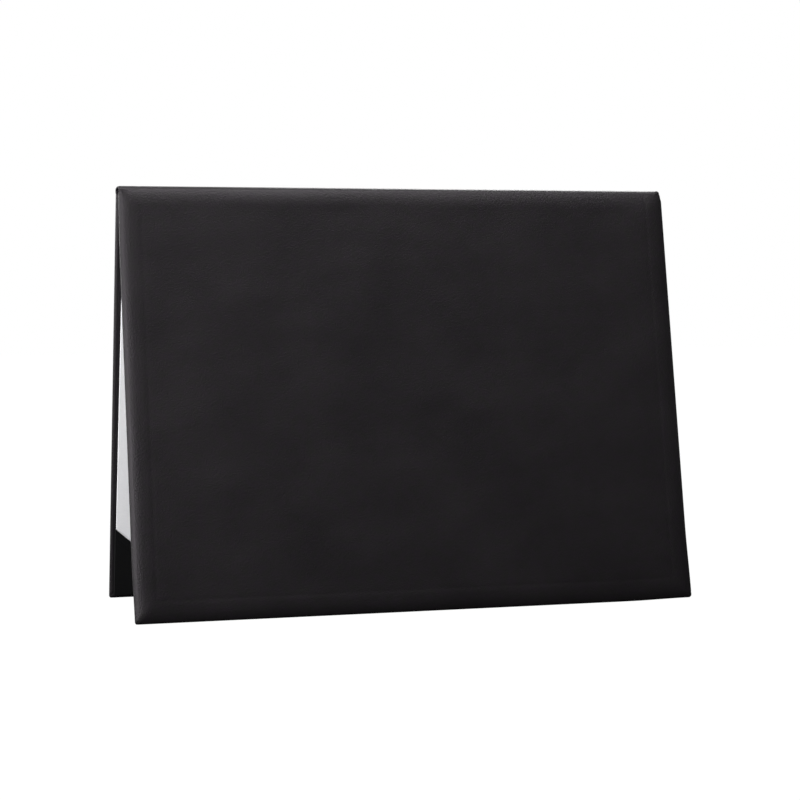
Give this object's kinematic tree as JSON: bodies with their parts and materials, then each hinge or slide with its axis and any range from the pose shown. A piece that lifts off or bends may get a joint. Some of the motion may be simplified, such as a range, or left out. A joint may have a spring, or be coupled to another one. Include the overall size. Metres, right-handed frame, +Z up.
{
  "type": "padded diploma cover",
  "caption": "Padded black leatherette diploma cover for a landscape certificate, standing as a tent on its open edges, white lined inside, with triangular corner pockets.",
  "frame": {"origin": "on the ground under the middle of the cover as it stands, at the bottom centre of its box", "axes": "+X along the fold, towards the right seen from the front; the front cover leans towards -Y; +Z up"},
  "size_m": [0.2986, 0.0992, 0.2193],
  "materials": {
    "black_leatherette": "fine grained, semi matt",
    "grey_board": "matt",
    "foam": "matt open foam",
    "white_lining": "smooth, matt",
    "black_pocket_cloth": "smooth, slightly glossy"
  },
  "bodies": {
    "spine": {"spine_strip": "black_leatherette", "hinge_strip": "black_leatherette"},
    "front_cover": {"front_board": "grey_board", "front_foam_pad": "foam", "front_wrap": "black_leatherette", "front_lining": "white_lining"},
    "rear_cover": {"rear_board": "grey_board", "rear_foam_pad": "foam", "rear_wrap": "black_leatherette", "rear_lining": "white_lining", "pocket_top_left": "black_pocket_cloth", "pocket_top_right": "black_pocket_cloth", "pocket_bottom_left": "black_pocket_cloth", "pocket_bottom_right": "black_pocket_cloth"}
  },
  "joints": [
    {"name": "front_hinge", "type": "hinge", "parent": "spine", "child": "front_cover", "pos_m": [0, -0.006, 0.21853], "axis": [-1, 0, 0], "range_deg": [-11.2, 78.8]},
    {"name": "rear_hinge", "type": "hinge", "parent": "spine", "child": "rear_cover", "pos_m": [0, 0.006, 0.21853], "axis": [1, 0, 0], "range_deg": [-11.2, 78.8]}
  ]
}
